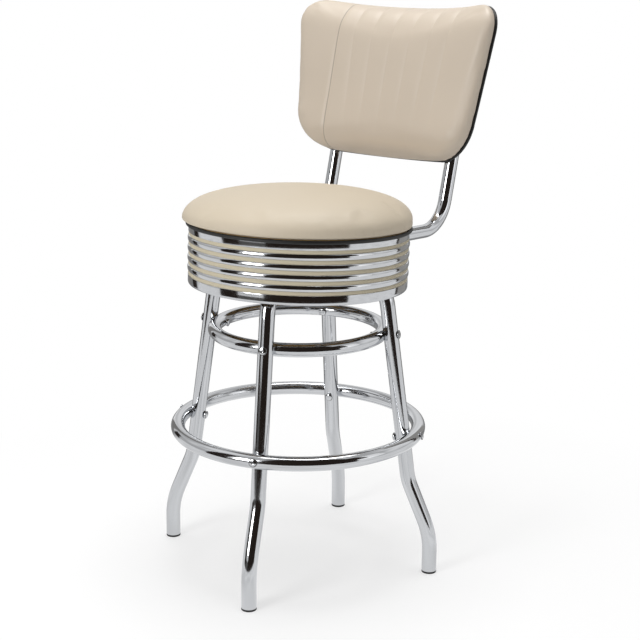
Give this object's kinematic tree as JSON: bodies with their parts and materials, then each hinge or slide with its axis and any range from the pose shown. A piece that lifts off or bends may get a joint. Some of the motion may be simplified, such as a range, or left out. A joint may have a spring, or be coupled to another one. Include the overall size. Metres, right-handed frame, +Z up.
{
  "type": "diner counter stool",
  "caption": "Counter stool with a ribbed chrome skirt, round padded swivel seat, curved padded back, bent chrome tube legs, foot ring and upper ring.",
  "frame": {"origin": "on the floor under the middle of the bounding box", "axes": "+Z up, +Y from the seat towards the back rest, +X to the right of the picture, which is the sitter's left as they face -Y"},
  "size_m": [0.476, 0.5774, 0.9509],
  "materials": {
    "chrome": "polished",
    "zinc": "zinc plated, satin",
    "cream_vinyl": "soft matt vinyl",
    "cream_strip": "satin vinyl strip",
    "black_vinyl": "soft vinyl welt",
    "black_plastic": "moulded, satin",
    "plywood": "raw plywood"
  },
  "bodies": {
    "base": {"leg_right": "chrome", "leg_rear": "chrome", "leg_left": "chrome", "leg_front": "chrome", "glide_right": "black_plastic", "glide_rear": "black_plastic", "glide_left": "black_plastic", "glide_front": "black_plastic", "hub_bolt_right": "zinc", "hub_bolt_rear": "zinc", "hub_bolt_left": "zinc", "hub_bolt_front": "zinc", "foot_ring_bolt_right": "chrome", "foot_ring_nut_right": "chrome", "upper_ring_bolt_right": "chrome", "upper_ring_nut_right": "chrome", "foot_ring_bolt_rear": "chrome", "foot_ring_nut_rear": "chrome", "upper_ring_bolt_rear": "chrome", "upper_ring_nut_rear": "chrome", "foot_ring_bolt_left": "chrome", "foot_ring_nut_left": "chrome", "upper_ring_bolt_left": "chrome", "upper_ring_nut_left": "chrome", "foot_ring_bolt_front": "chrome", "foot_ring_nut_front": "chrome", "upper_ring_bolt_front": "chrome", "upper_ring_nut_front": "chrome", "foot_ring": "chrome", "upper_ring": "chrome", "hub_plate": "zinc", "swivel_base_plate": "zinc"},
    "ball_cage": {"ball_cage": "zinc"},
    "seat": {"swivel_top_plate": "zinc", "seat_spacer": "plywood", "seat_board": "plywood", "seat_cushion": "cream_vinyl", "seat_welt": "black_vinyl", "skirt": "chrome", "insert_strip_1": "cream_strip", "insert_strip_2": "cream_strip", "insert_strip_3": "cream_strip", "insert_strip_4": "cream_strip", "insert_strip_5_front": "cream_strip", "insert_strip_5_rear": "cream_strip", "back_tube_left": "chrome", "tube_screw_left": "zinc", "tube_cap_left": "black_plastic", "back_bolt_lower_left": "chrome", "back_bolt_upper_left": "chrome", "back_tube_right": "chrome", "tube_screw_right": "zinc", "tube_cap_right": "black_plastic", "back_bolt_lower_right": "chrome", "back_bolt_upper_right": "chrome", "back_cover": "cream_vinyl", "back_board": "plywood", "back_cushion": "cream_vinyl", "back_welt": "black_vinyl"}
  },
  "joints": [
    {"name": "seat_swivel", "type": "hinge", "parent": "base", "child": "seat", "pos_m": [0, -0.05064, 0.5594], "axis": [0, 0, 1], "continuous": true},
    {"name": "cage_turn", "type": "hinge", "parent": "base", "child": "ball_cage", "pos_m": [0, -0.05064, 0.5594], "axis": [0, 0, 1], "continuous": true}
  ],
  "couplings": [
    {"joint": "cage_turn", "follows": "seat_swivel", "ratio": 0.5}
  ]
}
